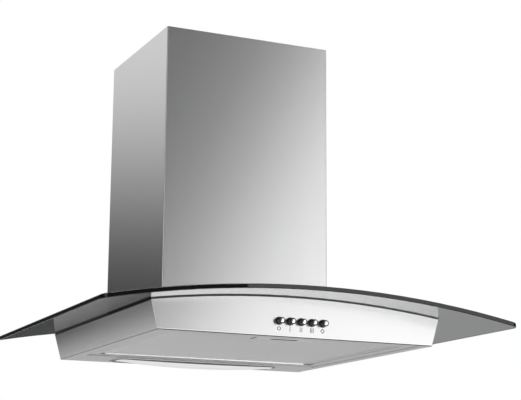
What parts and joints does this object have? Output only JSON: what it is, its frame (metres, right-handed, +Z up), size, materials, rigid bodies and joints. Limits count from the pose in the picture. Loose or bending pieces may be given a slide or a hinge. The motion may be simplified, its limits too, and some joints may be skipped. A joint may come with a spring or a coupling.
{
  "type": "curved glass range hood",
  "caption": "Wall-hung range hood with a curved smoked glass canopy, a shallow steel body with filter, lamp and push buttons, and a telescopic box chimney.",
  "frame": {"origin": "on the wall plane, on the centre line, midway between the four holes of the wall plate", "axes": "+X to the right as the cook sees it, +Y into the wall, +Z up"},
  "size_m": [0.6, 0.49, 0.48],
  "materials": {
    "brushed_stainless": "fine brushed",
    "plain_steel": "zinc plated",
    "smoked_glass": "polished",
    "black_rubber": "matte",
    "screw_steel": "plated",
    "scroll_plastic": "moulded",
    "wheel_plastic": "moulded",
    "motor_paint": "satin",
    "shaft_steel": "ground",
    "capacitor_can": "drawn",
    "collar_plastic": "moulded",
    "flap_plastic": "moulded",
    "terminal_plastic": "moulded",
    "filter_aluminium": "satin",
    "mesh_aluminium": "expanded mesh",
    "latch_steel": "satin",
    "lens_plastic": "opal",
    "holder_plastic": "moulded",
    "lamp_brass": "rolled",
    "lamp_glass": "frosted",
    "switch_plastic": "moulded",
    "board_laminate": "laminate",
    "button_chrome": "polished"
  },
  "bodies": {
    "hood": {"canopy_shell": "brushed_stainless", "underside_panel": "brushed_stainless", "top_deck": "plain_steel", "rear_panel": "plain_steel", "glass_canopy": "smoked_glass", "glass_gasket": "black_rubber", "glass_bushes": "black_rubber", "glass_screws": "screw_steel", "glass_nuts": "screw_steel", "lower_chimney": "brushed_stainless", "fan_box": "plain_steel", "fan_box_screws": "screw_steel", "fan_box_lid": "plain_steel", "wall_plate": "plain_steel", "scroll_rear": "scroll_plastic", "scroll_front": "scroll_plastic", "motor_housing": "motor_paint", "motor_bracket": "plain_steel", "capacitor": "capacitor_can", "capacitor_clip": "plain_steel", "outlet_collar": "collar_plastic", "collar_screws": "screw_steel", "terminal_box": "terminal_plastic", "terminal_cover": "terminal_plastic", "terminal_strip": "terminal_plastic", "cable_gland": "switch_plastic", "lamp_tray": "plain_steel", "lamp_holders": "holder_plastic", "lamp_bases": "lamp_brass", "lamp_bulbs": "lamp_glass", "switch_housing": "switch_plastic", "switch_board": "board_laminate", "switch_screws": "screw_steel", "button_bezels": "switch_plastic"},
    "chimney_upper": {"upper_chimney": "brushed_stainless", "upper_chimney_bracket": "plain_steel", "chimney_screws": "screw_steel"},
    "impeller": {"impeller": "wheel_plastic", "motor_shaft": "shaft_steel"},
    "flap_left": {"flap_left": "flap_plastic"},
    "flap_right": {"flap_right": "flap_plastic"},
    "filter": {"filter_frame": "filter_aluminium", "filter_mesh": "mesh_aluminium", "latch_pocket": "filter_aluminium"},
    "latch": {"filter_latch": "latch_steel"},
    "lens": {"lamp_lens": "lens_plastic"},
    "button_off": {"button_off": "button_chrome"},
    "button_speed_1": {"button_speed_1": "button_chrome"},
    "button_speed_2": {"button_speed_2": "button_chrome"},
    "button_speed_3": {"button_speed_3": "button_chrome"},
    "button_light": {"button_light": "button_chrome"}
  },
  "joints": [
    {"name": "chimney_slide", "type": "slide", "parent": "hood", "child": "chimney_upper", "axis": [0, 0, 1], "range_m": [0, 0.331]},
    {"name": "impeller_spin", "type": "hinge", "parent": "hood", "child": "impeller", "pos_m": [-0.0084, -0.10785, -0.02445], "axis": [0, 1, 0], "continuous": true},
    {"name": "flap_left_hinge", "type": "hinge", "parent": "hood", "child": "flap_left", "pos_m": [-0.0032, -0.10785, 0.12435], "axis": [0, 1, 0], "range_deg": [0, 80]},
    {"name": "flap_right_hinge", "type": "hinge", "parent": "hood", "child": "flap_right", "pos_m": [0.0032, -0.10785, 0.12435], "axis": [0, -1, 0], "range_deg": [0, 80]},
    {"name": "filter_hinge", "type": "hinge", "parent": "hood", "child": "filter", "pos_m": [0, -0.0965, -0.1799], "axis": [1, 0, 0], "range_deg": [0, 65]},
    {"name": "latch_slide", "type": "slide", "parent": "filter", "child": "latch", "axis": [0, 1, 0], "range_m": [0, 0.005], "stiffness_N_per_m": 200, "springref_m": -0.003},
    {"name": "lens_hinge", "type": "hinge", "parent": "hood", "child": "lens", "pos_m": [0, -0.024, -0.18015], "axis": [1, 0, 0], "range_deg": [0, 60]},
    {"name": "button_off_press", "type": "slide", "parent": "hood", "child": "button_off", "axis": [0, 0.9993, 0.0366], "range_m": [0, 0.004], "stiffness_N_per_m": 300, "springref_m": -0.002},
    {"name": "button_speed_1_press", "type": "slide", "parent": "hood", "child": "button_speed_1", "axis": [0, 0.9993, 0.0366], "range_m": [0, 0.004], "stiffness_N_per_m": 300, "springref_m": -0.002},
    {"name": "button_speed_2_press", "type": "slide", "parent": "hood", "child": "button_speed_2", "axis": [0, 0.9993, 0.0366], "range_m": [0, 0.004], "stiffness_N_per_m": 300, "springref_m": -0.002},
    {"name": "button_speed_3_press", "type": "slide", "parent": "hood", "child": "button_speed_3", "axis": [0, 0.9993, 0.0366], "range_m": [0, 0.004], "stiffness_N_per_m": 300, "springref_m": -0.002},
    {"name": "button_light_press", "type": "slide", "parent": "hood", "child": "button_light", "axis": [0, 0.9993, 0.0366], "range_m": [0, 0.004], "stiffness_N_per_m": 300, "springref_m": -0.002}
  ]
}
